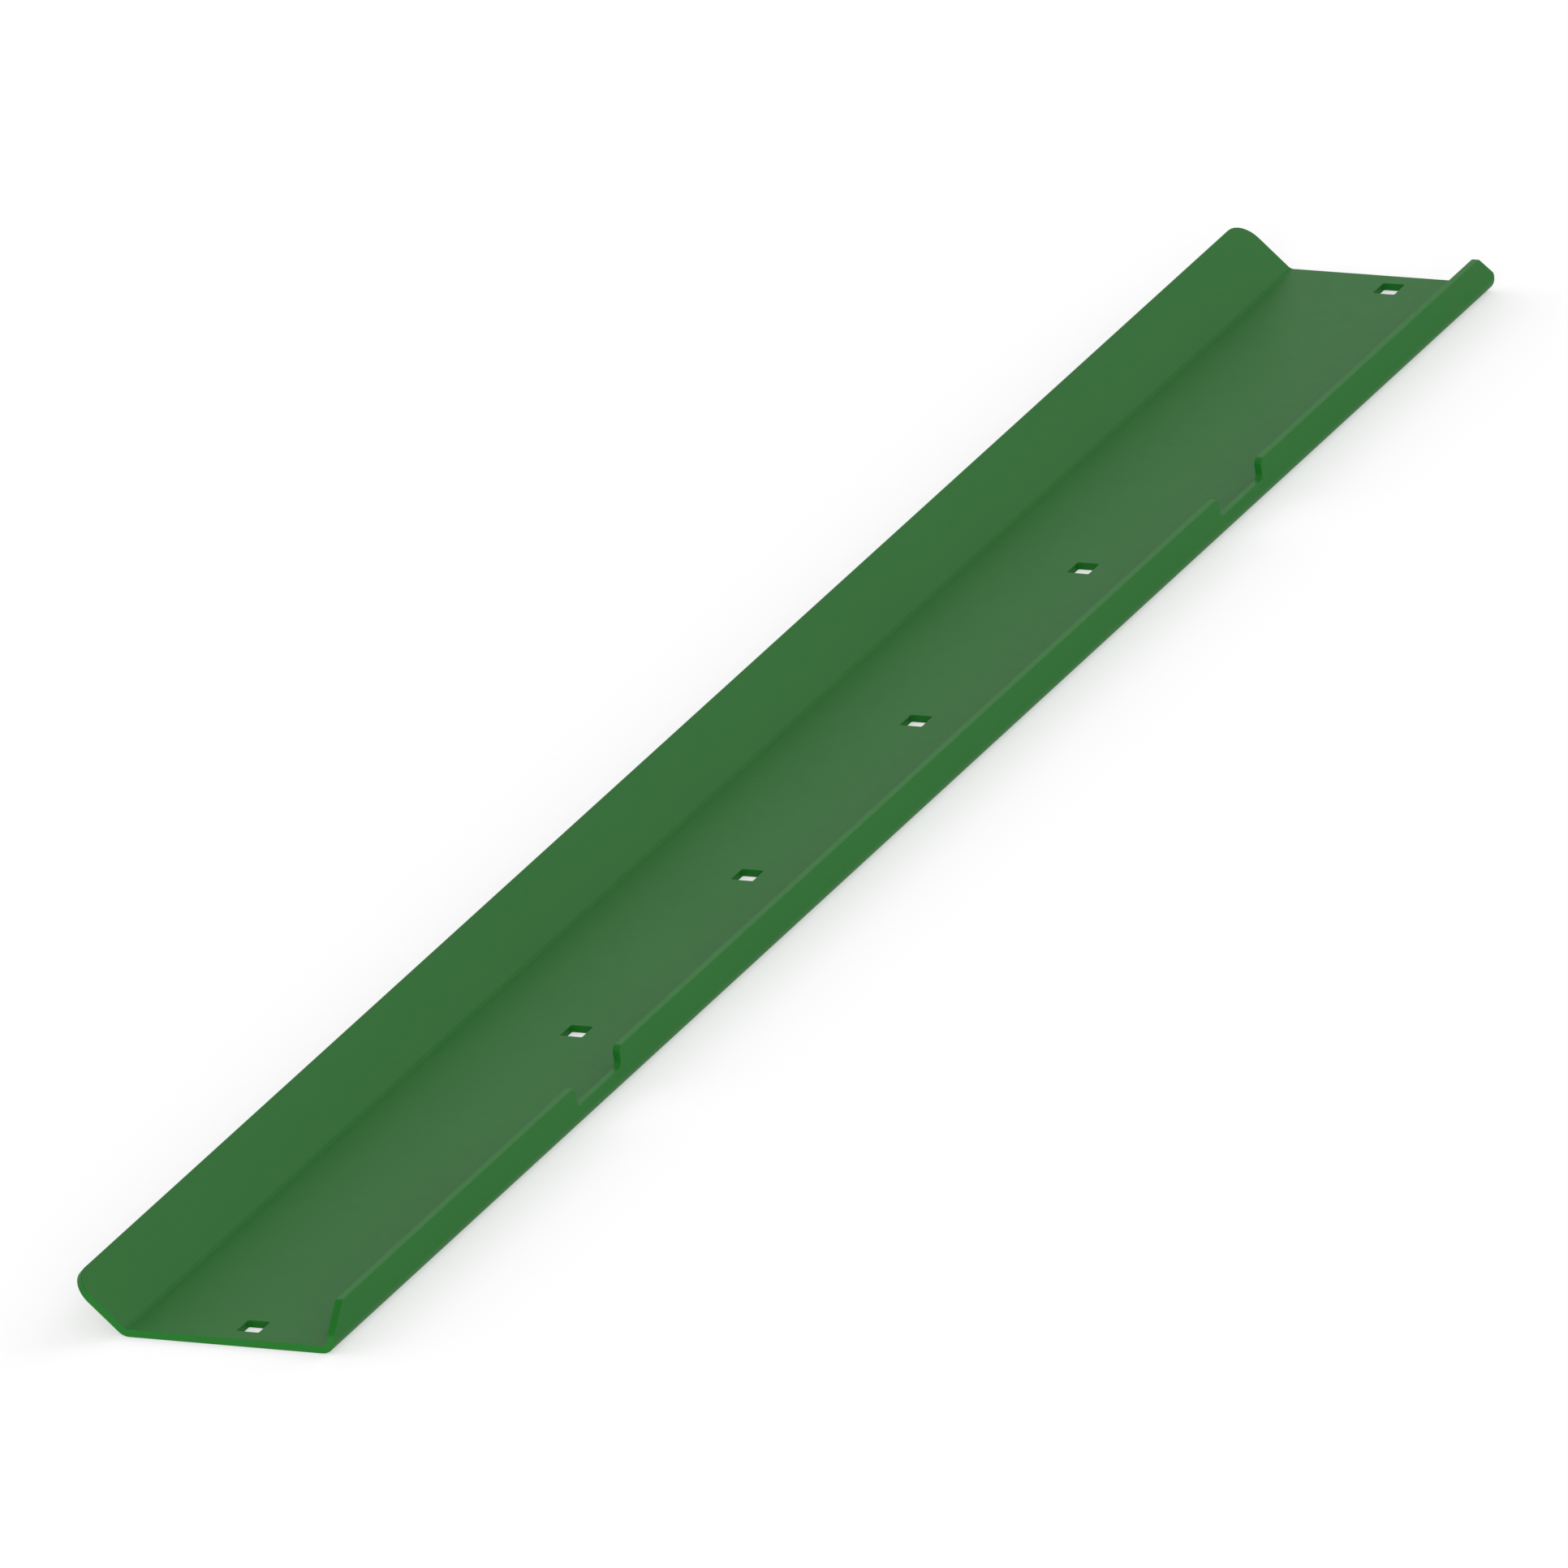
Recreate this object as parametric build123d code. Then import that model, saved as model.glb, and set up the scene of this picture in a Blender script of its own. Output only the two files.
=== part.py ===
from build123d import *
from math import cos, radians, sin, tan
import os

# Straight slide: one strip of painted sheet steel, folded into a shallow channel.
#
# Frame: X runs across the slide, from the flared flange to the upright lip. Y runs along its length,
# and Z is up. The origin is in the middle of the footprint, on the plane that the underside rests on.
# All sizes are in millimetres and all angles in degrees.

# Sheet and bends
LENGTH = 964.0
SHEET = 3.0
BEND_RADIUS = 3.0  # inside radius of both bends
WEB_FLAT = 80.2  # flat part of the web, between the two bends

# Flared flange, along the -X side
FLARE_ANGLE = 45.0  # above the plane of the web
FLARE_FLAT = 25.7  # from the bend to the free edge
FLARE_CORNER_RADIUS = 10.0

# Upright lip, along the +X side
LIP_HEIGHT = 17.5  # free edge above the underside
LIP_CHAMFER = 10.0  # 45 degree cut at each end
LIP_CORNER_RADIUS = 2.5  # rounds the chamfers and the notches
NOTCH_FROM_MIDDLE = 266.8
NOTCH_WIDTH = 35.5
NOTCH_DEPTH = 8.0

# Square holes for M8 carriage bolts, in one row along the web
HOLE_SIDE = 9.0
HOLE_CORNER_RADIUS = 0.5
HOLE_LINE_FROM_LIP = 40.0  # to the lip's outer face
HOLE_FROM_MIDDLE = (70.0, 210.0, 470.5)  # the row is symmetric about the middle

# Derived sizes
OUTER_RADIUS = BEND_RADIUS + SHEET
FLARE_UP = Vector(-cos(radians(FLARE_ANGLE)), 0, sin(radians(FLARE_ANGLE)))
FLARE_NORMAL = Vector(sin(radians(FLARE_ANGLE)), 0, cos(radians(FLARE_ANGLE)))
WIDTH_LEFT = OUTER_RADIUS * sin(radians(FLARE_ANGLE)) + FLARE_FLAT * cos(radians(FLARE_ANGLE))
WIDTH_RIGHT = WEB_FLAT + OUTER_RADIUS
LEFT_BEND_X = (WIDTH_LEFT - WIDTH_RIGHT) / 2
RIGHT_BEND_X = LEFT_BEND_X + WEB_FLAT
LIP_FACE_X = RIGHT_BEND_X + OUTER_RADIUS
MARGIN = 20.0  # how far cutting tools reach past the sheet


def bent_line(height):
    """Line across the section that follows both bends, at a height above the underside."""
    radius = OUTER_RADIUS - height
    setback = radius * tan(radians(FLARE_ANGLE / 2))
    flare_root = Vector(LEFT_BEND_X - setback, 0, height)
    lip_root = Vector(RIGHT_BEND_X + radius, 0, height)
    flare_tip = flare_root + FLARE_UP * (setback + FLARE_FLAT)
    lip_tip = Vector(lip_root.X, 0, LIP_HEIGHT)
    return FilletPolyline(flare_tip, flare_root, lip_root, lip_tip, radius=radius)


def folded_strip():
    """The sheet after both folds, before its edges are trimmed."""
    top = bent_line(SHEET)
    underside = bent_line(0)
    outline = Curve() + [top, underside, Line(top @ 0, underside @ 0), Line(top @ 1, underside @ 1)]
    return extrude(make_face(outline), amount=LENGTH / 2, dir=(0, 1, 0), both=True)


def flare_plane():
    """Plane in the middle of the flare's thickness. Its x runs along +Y, and its y up the flare."""
    bend_centre = Vector(LEFT_BEND_X, 0, OUTER_RADIUS)
    origin = bend_centre - FLARE_NORMAL * (BEND_RADIUS + SHEET / 2)
    return Plane(origin=origin, x_dir=(0, 1, 0), z_dir=Vector(0, 1, 0).cross(FLARE_UP))


def lip_plane():
    """Plane in the middle of the lip's thickness. Its x runs along +Y, and its y upwards."""
    origin = Vector(LIP_FACE_X - SHEET / 2, 0, OUTER_RADIUS)
    return Plane(origin=origin, x_dir=(0, 1, 0), z_dir=(1, 0, 0))


def flare_outline():
    """Side view of the flare's flat part, with its two free corners rounded."""
    blank = Rectangle(LENGTH, FLARE_FLAT, align=(Align.CENTER, Align.MIN))
    return fillet(blank.vertices().group_by(Axis.Y)[-1], FLARE_CORNER_RADIUS)


def lip_outline():
    """Side view of the lip's flat part, with chamfered ends and two notches in its free edge."""
    top = LIP_HEIGHT - OUTER_RADIUS
    half = LENGTH / 2
    notch_start = NOTCH_FROM_MIDDLE - NOTCH_WIDTH / 2
    notch_end = NOTCH_FROM_MIDDLE + NOTCH_WIDTH / 2
    free_edge = [
        (notch_start, top),
        (notch_start, top - NOTCH_DEPTH),
        (notch_end, top - NOTCH_DEPTH),
        (notch_end, top),
        (half - LIP_CHAMFER, top),
        (half, top - LIP_CHAMFER),
    ]
    right = free_edge + [(half, 0)]
    left = [(-y, z) for y, z in reversed(right)]
    outline = make_face(Polyline(*left, *right, close=True))
    levels = outline.vertices().group_by(Axis.Y)
    corners = [vertex for level in levels[1:] for vertex in level]  # all but the two at the bend
    return fillet(corners, LIP_CORNER_RADIUS)


def trim(strip, plane, outline):
    """Cut the flange that lies in a plane down to its outline."""
    window = Rectangle(LENGTH + MARGIN, FLARE_FLAT + MARGIN, align=(Align.CENTER, Align.MIN))
    return strip - extrude(plane * (window - outline), amount=SHEET, both=True)


def bolt_holes():
    """The square punches, standing upright through the web."""
    x = LIP_FACE_X - HOLE_LINE_FROM_LIP
    square = RectangleRounded(HOLE_SIDE, HOLE_SIDE, HOLE_CORNER_RADIUS)
    punches = Sketch() + [Pos(x, side * y) * square for y in HOLE_FROM_MIDDLE for side in (-1, 1)]
    return extrude(punches, amount=SHEET + MARGIN, both=True)


def slide_channel():
    strip = folded_strip()
    strip = trim(strip, flare_plane(), flare_outline())
    strip = trim(strip, lip_plane(), lip_outline())
    return strip - bolt_holes()


os.makedirs("parts", exist_ok=True)
export_step(slide_channel(), "parts/slide_channel.step")
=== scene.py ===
from math import cos, pi, radians, sin, tan

import bpy
from mathutils import Matrix, Vector
from mathutils.geometry import delaunay_2d_cdt


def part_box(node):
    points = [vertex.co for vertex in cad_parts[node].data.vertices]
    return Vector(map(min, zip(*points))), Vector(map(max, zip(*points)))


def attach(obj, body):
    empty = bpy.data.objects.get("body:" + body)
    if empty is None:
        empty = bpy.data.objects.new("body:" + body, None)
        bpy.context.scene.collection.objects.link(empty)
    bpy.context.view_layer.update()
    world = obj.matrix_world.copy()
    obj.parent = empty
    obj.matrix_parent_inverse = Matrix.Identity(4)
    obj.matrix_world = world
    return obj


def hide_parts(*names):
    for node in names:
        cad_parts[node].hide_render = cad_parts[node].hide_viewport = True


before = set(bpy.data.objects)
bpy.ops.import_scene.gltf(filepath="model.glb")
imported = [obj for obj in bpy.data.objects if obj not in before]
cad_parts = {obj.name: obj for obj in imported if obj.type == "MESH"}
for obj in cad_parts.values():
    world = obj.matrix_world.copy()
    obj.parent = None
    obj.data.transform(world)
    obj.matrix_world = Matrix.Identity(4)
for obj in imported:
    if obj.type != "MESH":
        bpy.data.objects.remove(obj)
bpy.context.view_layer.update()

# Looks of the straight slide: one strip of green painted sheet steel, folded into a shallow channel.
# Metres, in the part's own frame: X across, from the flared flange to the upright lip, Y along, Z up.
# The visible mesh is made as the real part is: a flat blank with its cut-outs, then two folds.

LOW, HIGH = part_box("slide_channel")

# Sheet and bends
SHEET = 0.003
BEND_RADIUS = 0.003  # inside
OUTER_RADIUS = BEND_RADIUS + SHEET
FLARE_ANGLE = radians(45)
LIP_ANGLE = radians(90)

# Outline of the blank
FLARE_CORNER_RADIUS = 0.010
LIP_HEIGHT = 0.0175  # free edge above the underside
LIP_CHAMFER = 0.010
LIP_CORNER_RADIUS = 0.0025
NOTCH_FROM_MIDDLE = 0.2668
NOTCH_WIDTH = 0.0355
NOTCH_DEPTH = 0.008
HOLE_SIDE = 0.009
HOLE_CORNER_RADIUS = 0.0005
HOLE_LINE_FROM_LIP = 0.040
HOLE_FROM_MIDDLE = (0.070, 0.210, 0.4705)

# Worked out from the CAD part's box
HALF_LENGTH = HIGH.y
FLARE_FLAT = (HIGH.z - OUTER_RADIUS + BEND_RADIUS * cos(FLARE_ANGLE)) / sin(FLARE_ANGLE)
LEFT_BEND_X = LOW.x + OUTER_RADIUS * sin(FLARE_ANGLE) + FLARE_FLAT * cos(FLARE_ANGLE)
RIGHT_BEND_X = HIGH.x - OUTER_RADIUS
WEB_FLAT = RIGHT_BEND_X - LEFT_BEND_X

# The blank's own coordinates: across, 0 where the web meets the flare's bend, and along the part
MIDDLE_RADIUS = BEND_RADIUS + SHEET / 2
FLARE_ARC = MIDDLE_RADIUS * FLARE_ANGLE
LIP_ARC = MIDDLE_RADIUS * LIP_ANGLE
FLARE_EDGE = -FLARE_ARC - FLARE_FLAT
LIP_EDGE = WEB_FLAT + LIP_ARC + LIP_HEIGHT - OUTER_RADIUS
HOLE_LINE = HIGH.x - HOLE_LINE_FROM_LIP - LEFT_BEND_X

# Mesh
RIM_RADIUS = 0.00035  # the cut edges are rounded by deburring and paint
RIM_STEPS = 4
CORNER_STEPS = 8
FLARE_BEND_STEPS = 10
LIP_BEND_STEPS = 20
GRID = 0.010  # spacing of the mesh points along the strip
FLARE_COLUMNS = 3
WEB_COLUMNS = 8
HOLE_MARGIN = 0.0025  # mesh points keep this far from a hole
INSIDE_EDGES = 1  # has the triangulation leave out what lies outside the outline
SAME_POINT = 1e-7

# Painted highlight: how much lighter green a cut edge is coloured, standing in for the light it
# catches, from 0 to 1
FACE_HIGHLIGHT = 0.0
END_HIGHLIGHT = 1.0
LONG_EDGE_HIGHLIGHT = 0.35
NOTCH_WALL_HIGHLIGHT = 0.0
HOLE_WALL_HIGHLIGHT = 0.0
HIGHLIGHT_FADE = 8  # the higher, the sooner a mark fades round a corner


def fold(across, along, height):
    """Place of a point of the blank after both folds, at a height above the underside."""
    radius = OUTER_RADIUS - height
    if across < 0:
        side, arc, angle, past = -1, FLARE_ARC, FLARE_ANGLE, -across
    else:
        side, arc, angle, past = 1, LIP_ARC, LIP_ANGLE, max(across - WEB_FLAT, 0)
    turn = angle * min(past / arc, 1)
    run = max(past - arc, 0)
    x = LEFT_BEND_X + min(max(across, 0), WEB_FLAT) + side * (radius * sin(turn) + run * cos(turn))
    return Vector((x, along, OUTER_RADIUS - radius * cos(turn) + run * sin(turn)))


def face_axes(across):
    """Across direction and upper face's normal, after both folds."""
    if across < 0:
        turn = FLARE_ANGLE * min(-across / FLARE_ARC, 1)
    else:
        turn = -LIP_ANGLE * min(max(across - WEB_FLAT, 0) / LIP_ARC, 1)
    return Vector((cos(turn), 0, -sin(turn))), Vector((sin(turn), 0, cos(turn)))


def rounded(corners):
    """Points and outward normals round a closed outline of (across, along, radius) corners.

    The material is on the left. Radius 0 marks a point on a straight run.
    """
    points = []
    for index, (across, along, radius) in enumerate(corners):
        here = Vector((across, along))
        before = (here - Vector(corners[index - 1][:2])).normalized()
        after = (Vector(corners[(index + 1) % len(corners)][:2]) - here).normalized()
        turn = -before.angle_signed(after)
        if not radius:
            points.append((here, Vector((before.y, -before.x))))
            continue
        hand = 1 if turn > 0 else -1
        start = here - before * radius * tan(abs(turn) / 2)
        centre = start + Vector((-before.y, before.x)) * hand * radius
        for step in range(CORNER_STEPS + 1):
            way = before.copy()
            way.rotate(Matrix.Rotation(turn * step / CORNER_STEPS, 2))
            outward = Vector((way.y, -way.x))
            points.append((centre + outward * hand * radius, outward))
    return points


def divided(points):
    """The same outline with its long straight runs cut into pieces no longer than the grid."""
    result = []
    for index, (here, outward) in enumerate(points):
        after = points[(index + 1) % len(points)][0]
        pieces = max(1, round((after - here).length / GRID))
        result += [(here.lerp(after, piece / pieces), outward) for piece in range(pieces)]
    return result


def bend_lines():
    """Where the mesh is creased across each bend, from the flare to the lip."""
    flare = [-FLARE_ARC * step / FLARE_BEND_STEPS for step in range(FLARE_BEND_STEPS, -1, -1)]
    lip = [WEB_FLAT + LIP_ARC * step / LIP_BEND_STEPS for step in range(LIP_BEND_STEPS + 1)]
    return flare + lip


def blank_outline():
    """The blank's outer edge: flare corners, chamfered lip ends and two notches."""
    lip_edge = [(LIP_EDGE - LIP_CHAMFER, -HALF_LENGTH), (LIP_EDGE, LIP_CHAMFER - HALF_LENGTH)]
    for middle in (-NOTCH_FROM_MIDDLE, NOTCH_FROM_MIDDLE):
        start = middle - NOTCH_WIDTH / 2
        end = middle + NOTCH_WIDTH / 2
        floor = LIP_EDGE - NOTCH_DEPTH
        lip_edge += [(LIP_EDGE, start), (floor, start), (floor, end), (LIP_EDGE, end)]
    lip_edge += [(LIP_EDGE, HALF_LENGTH - LIP_CHAMFER), (LIP_EDGE - LIP_CHAMFER, HALF_LENGTH)]
    corners = [(FLARE_EDGE, -HALF_LENGTH, FLARE_CORNER_RADIUS)]
    corners += [(across, -HALF_LENGTH, 0) for across in bend_lines()]
    corners += [(across, along, LIP_CORNER_RADIUS) for across, along in lip_edge]
    corners += [(across, HALF_LENGTH, 0) for across in reversed(bend_lines())]
    corners += [(FLARE_EDGE, HALF_LENGTH, FLARE_CORNER_RADIUS)]
    return divided(rounded(corners))


def hole_places():
    return [side * along for along in HOLE_FROM_MIDDLE for side in (-1, 1)]


def hole_outline(along):
    half = HOLE_SIDE / 2
    turns = ((-1, -1), (-1, 1), (1, 1), (1, -1))
    return rounded([(HOLE_LINE + a * half, along + b * half, HOLE_CORNER_RADIUS) for a, b in turns])


def near_hole(across, along):
    reach = HOLE_SIDE / 2 + HOLE_MARGIN
    return any(abs(across - HOLE_LINE) < reach and abs(along - hole) < reach for hole in hole_places())


def inner_points():
    """Columns of mesh points on the flat parts and on the bend lines, as (across, [along, ...])."""
    rows = round(2 * HALF_LENGTH / GRID)
    alongs = [HALF_LENGTH * (2 * row / rows - 1) for row in range(1, rows)]
    columns = [FLARE_EDGE + FLARE_FLAT * step / FLARE_COLUMNS for step in range(1, FLARE_COLUMNS)]
    columns += [WEB_FLAT * step / WEB_COLUMNS for step in range(1, WEB_COLUMNS)]
    flats = []
    for across in columns:
        flats.append((across, [along for along in alongs if not near_hole(across, along)]))
    return flats, [(across, alongs) for across in bend_lines()]


def flat_triangles(loops):
    """The points of the blank's face inside its rounded rims, and the triangles that join them."""
    points = []
    edges = []
    for loop in loops:
        first = len(points)
        points += [point - outward * RIM_RADIUS for point, outward in loop]
        edges += [(first + k, first + (k + 1) % len(loop)) for k in range(len(loop))]
    outline = points[: len(loops[0])]
    flats, creases = inner_points()
    points += [Vector((across, along)) for across, alongs in flats for along in alongs]
    for across, alongs in creases:
        ends = [Vector((across, end)) for end in (-HALF_LENGTH, HALF_LENGTH)]
        first, last = (min(outline, key=lambda point: (point - end).length) for end in ends)
        between = range(len(points), len(points) + len(alongs))
        column = [outline.index(first), *between, outline.index(last)]
        points += [Vector((across, along)) for along in alongs]
        edges += zip(column, column[1:])
    found = delaunay_2d_cdt(points, edges, [], INSIDE_EDGES, SAME_POINT)
    faces, sources = found[2:4]
    assert len(sources) == len(points) and all(len(source) == 1 for source in sources)
    # The loop that each point lies on: 0 is the outline, and the points that lie on none count with it
    rim_of = [number for number, loop in enumerate(loops) for _ in loop]
    rim_of += [0] * (len(points) - len(rim_of))
    triangles = []
    for face in faces:
        corners = [sources[k][0] for k in face]
        rims = {rim_of[corner] for corner in corners}
        fills_hole = len(rims) == 1 and 0 not in rims
        if not fills_hole:
            triangles.append(corners)
    return points, triangles


def edge_light_mark(point, outward):
    """Painted highlight: how much lighter green the blank's outer edge is coloured, standing in for
    the light it catches.
    """
    at_end = abs(point.y) > HALF_LENGTH - LIP_CHAMFER
    wall_highlight = END_HIGHLIGHT if at_end else NOTCH_WALL_HIGHLIGHT
    return wall_highlight * outward.y ** HIGHLIGHT_FADE + LONG_EDGE_HIGHLIGHT * outward.x ** HIGHLIGHT_FADE


def rim_section():
    """Rings of a cut edge's rounded section, from the underside up.

    Each ring is (inset from the edge, height, upward and outward parts of its normal).
    """
    upper = []
    for step in range(1, RIM_STEPS):
        angle = step * pi / 2 / RIM_STEPS
        inset = RIM_RADIUS * (1 - sin(angle))
        height = RIM_RADIUS * (1 - cos(angle))
        upper.append((inset, height, -cos(angle), sin(angle)))
    upper.append((0, RIM_RADIUS, 0, 1))
    return upper + [(inset, SHEET - height, -up, out) for inset, height, up, out in reversed(upper)]


def folded_sheet():
    """The whole strip as one closed mesh, with its exact normals and a painted highlight on its cut
    edges.
    """
    loops = [blank_outline()] + [hole_outline(along) for along in hole_places()]
    flat, triangles = flat_triangles(loops)
    places = []
    normals = []
    highlight_marks = [FACE_HIGHLIGHT] * 2 * len(flat)
    for height, side in ((SHEET, 1), (0, -1)):
        places += [fold(point.x, point.y, height) for point in flat]
        normals += [face_axes(point.x)[1] * side for point in flat]
    lower = len(flat)  # the upper face's points come first, then the lower face's, then the rims'
    faces = triangles + [[lower + k for k in reversed(face)] for face in triangles]
    first = 0
    for loop in loops:
        starts = [lower + first]
        for inset, height, up, out in rim_section():
            starts.append(len(places))
            for point, outward in loop:
                inside = point - outward * inset
                crosswise, upper = face_axes(point.x)
                places.append(fold(inside.x, inside.y, height))
                normals.append((crosswise * outward.x + Vector((0, outward.y, 0))) * out + upper * up)
                # painted highlight on the outline's cut edges; the hole walls get none
                highlight_marks.append(edge_light_mark(point, outward) if loop is loops[0] else HOLE_WALL_HIGHLIGHT)
        starts.append(first)
        for below, above in zip(starts, starts[1:]):
            for k in range(len(loop)):
                after = (k + 1) % len(loop)
                faces.append([below + k, below + after, above + after, above + k])
        first += len(loop)
    mesh = bpy.data.meshes.new("painted_strip")
    mesh.from_pydata(places, [], faces)
    # the painted highlight reaches the paint through this attribute
    mesh.attributes.new("painted_highlight", "FLOAT", "POINT").data.foreach_set("value", highlight_marks)
    mesh.shade_smooth()
    mesh.normals_split_custom_set_from_vertices(normals)
    return mesh


# Paint, with colours in linear light and noise scales in features per metre
DEEP_GREEN = (0.0061, 0.1070, 0.0092)
MID_GREEN = (0.0067, 0.1120, 0.0099)
SPECK_GREEN = (0.0080, 0.1190, 0.0110)
# Painted highlight: the lighter green that the cut edges are coloured, to stand in for the light they
# catch
HIGHLIGHT_GREEN = (0.0134, 0.1450, 0.0172)
CLOUD_SCALE = 14
CLOUD_DETAIL = 2
SPECK_SCALE = 220
SPECK_DETAIL = 3
SPECK_SHARE = 0.15
ROUGHNESS = (0.445, 0.475)
GLOSS = 0.11
NOISE_ROUGHNESS = 0.55
COAT_DETAIL = 1
FLOW = {"scale": 55, "strength": 0.02, "depth": 0.0002}  # slow waves in the coat
PEEL = {"scale": 420, "strength": 0.20, "depth": 0.00004}  # orange peel

# Where Blender's colour mixing node has its two inputs and its result
MIX_INPUTS = (6, 7)
MIX_RESULT = 2


class Nodes:
    """Adds shader nodes to a material and links them."""

    def __init__(self, name):
        self.material = bpy.data.materials.new(name)
        self.material.use_nodes = True
        self.tree = self.material.node_tree
        self.shader = self.tree.nodes["Principled BSDF"]

    def add(self, kind, inputs=None, **settings):
        node = self.tree.nodes.new(kind)
        for name, value in settings.items():
            setattr(node, name, value)
        for name, value in (inputs or {}).items():
            if isinstance(value, bpy.types.NodeSocket):
                self.tree.links.new(value, node.inputs[name])
            else:
                node.inputs[name].default_value = value
        return node

    def noise(self, vector, scale, detail):
        inputs = {"Vector": vector, "Scale": scale, "Detail": detail, "Roughness": NOISE_ROUGHNESS}
        return self.add("ShaderNodeTexNoise", inputs).outputs["Fac"]

    def ranged(self, value, low, high, start=0.3, end=0.7):
        """A value spread from low to high, by default over the range that most noise is in."""
        inputs = {"Value": value, "From Min": start, "From Max": end, "To Min": low, "To Max": high}
        return self.add("ShaderNodeMapRange", inputs).outputs["Result"]

    def mixed(self, factor, first, second):
        node = self.add("ShaderNodeMix", data_type="RGBA")
        self.tree.links.new(factor, node.inputs["Factor"])
        for slot, value in zip(MIX_INPUTS, (first, second)):
            if isinstance(value, bpy.types.NodeSocket):
                self.tree.links.new(value, node.inputs[slot])
            else:
                node.inputs[slot].default_value = (*value, 1)
        return node.outputs[MIX_RESULT]

    def bumped(self, place, coat, normal=None):
        inputs = {"Strength": coat["strength"], "Distance": coat["depth"]}
        inputs["Height"] = self.noise(place, coat["scale"], COAT_DETAIL)
        if normal:
            inputs["Normal"] = normal
        return self.add("ShaderNodeBump", inputs).outputs["Normal"]


def green_paint():
    """Satin machinery enamel: even green, faint orange peel, and a painted highlight that makes the
    cut edges a little lighter.
    """
    nodes = Nodes("green_paint")
    inputs = nodes.shader.inputs
    place = nodes.add("ShaderNodeTexCoord").outputs["Object"]
    cloud = nodes.noise(place, CLOUD_SCALE, CLOUD_DETAIL)
    speck = nodes.noise(place, SPECK_SCALE, SPECK_DETAIL)
    # painted highlight on the cut edges, mixed over the paint's tone below
    edge = nodes.add("ShaderNodeAttribute", attribute_name="painted_highlight").outputs["Fac"]
    tone = nodes.mixed(nodes.ranged(cloud, 0, 1), DEEP_GREEN, MID_GREEN)
    tone = nodes.mixed(nodes.ranged(speck, 0, SPECK_SHARE), tone, SPECK_GREEN)
    tone = nodes.mixed(edge, tone, HIGHLIGHT_GREEN)
    nodes.tree.links.new(tone, inputs["Base Color"])
    nodes.tree.links.new(nodes.ranged(speck, *ROUGHNESS), inputs["Roughness"])
    nodes.tree.links.new(nodes.bumped(place, PEEL, nodes.bumped(place, FLOW)), inputs["Normal"])
    inputs["Specular IOR Level"].default_value = GLOSS
    return nodes.material


def add_object(name, data):
    item = bpy.data.objects.new(name, data)
    bpy.context.scene.collection.objects.link(item)
    return item


def painted_strip():
    strip = add_object("painted_strip", folded_sheet())
    strip.data.materials.append(green_paint())
    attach(strip, "root")
    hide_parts("slide_channel")


# Studio
FLOOR_REACH = 20.0
FLOOR_TONE = 0.50
FLOOR_GLOW = 0.45  # the floor is a light table, so shadows on it are faint
FLOOR_ROUGHNESS = 0.9
SKY_STRENGTH = 0.69
SOFTBOX_SIZE = radians(50)
SOFTBOXES = {  # strength, and the direction that the light comes from
    "key_light": (2.00, (0.50, -0.95, 0.25)),
    "right_rim_light": (1.05, (0.50, 0.80, 0.40)),
    "left_rim_light": (0.42, (-0.50, 0.80, 0.34)),
    "fill_light": (0.80, (-1.00, -0.10, 0.45)),
}


def studio_floor():
    mesh = bpy.data.meshes.new("studio_floor")
    reach = FLOOR_REACH
    corners = [(-reach, -reach, 0), (reach, -reach, 0), (reach, reach, 0), (-reach, reach, 0)]
    mesh.from_pydata(corners, [], [(0, 1, 2, 3)])
    nodes = Nodes("studio_floor")
    settings = {
        "Base Color": (FLOOR_TONE, FLOOR_TONE, FLOOR_TONE, 1),
        "Emission Color": (1, 1, 1, 1),
        "Emission Strength": FLOOR_GLOW,
        "Roughness": FLOOR_ROUGHNESS,
        "Specular IOR Level": 0.0,
    }
    for name, value in settings.items():
        nodes.shader.inputs[name].default_value = value
    mesh.materials.append(nodes.material)
    add_object("studio_floor", mesh)


def studio_light():
    world = bpy.data.worlds.new("studio")
    world.use_nodes = True
    sky = world.node_tree.nodes["Background"]
    sky.inputs["Color"].default_value = (1, 1, 1, 1)
    sky.inputs["Strength"].default_value = SKY_STRENGTH
    bpy.context.scene.world = world
    for name, (strength, direction) in SOFTBOXES.items():
        lamp = add_object(name, bpy.data.lights.new(name, "SUN"))
        lamp.data.energy = strength
        lamp.data.angle = SOFTBOX_SIZE
        lamp.rotation_euler = Vector(direction).to_track_quat("Z", "Y").to_euler()


# Camera: a very long lens, so that the view is nearly parallel
VIEW_FROM = radians(30.350)  # from -Y towards +X
VIEW_ABOVE = radians(23.181)
VIEW_ROLL = radians(-8.450)
VIEW_DISTANCE = 19.470
VIEW_LENS = 1200
VIEW_SENSOR = 36
VIEW_CLIP = (1, 100)
VIEW_AIM = Vector((-0.0034, -0.0032, -0.0024))  # from the middle of the part's box


def studio_camera():
    camera = add_object("camera", bpy.data.cameras.new("camera"))
    camera.data.lens = VIEW_LENS
    camera.data.sensor_width = VIEW_SENSOR
    camera.data.clip_start, camera.data.clip_end = VIEW_CLIP
    middle = (LOW + HIGH) / 2
    turn = Matrix.Rotation(VIEW_FROM, 4, "Z") @ Matrix.Rotation(pi / 2 - VIEW_ABOVE, 4, "X")
    place = Matrix.Translation(middle + VIEW_AIM) @ turn @ Matrix.Translation((0, 0, VIEW_DISTANCE))
    camera.matrix_world = place @ Matrix.Rotation(VIEW_ROLL, 4, "Z")
    bpy.context.scene.camera = camera


painted_strip()
studio_floor()
studio_light()
studio_camera()
bpy.context.scene.view_settings.view_transform = "Standard"
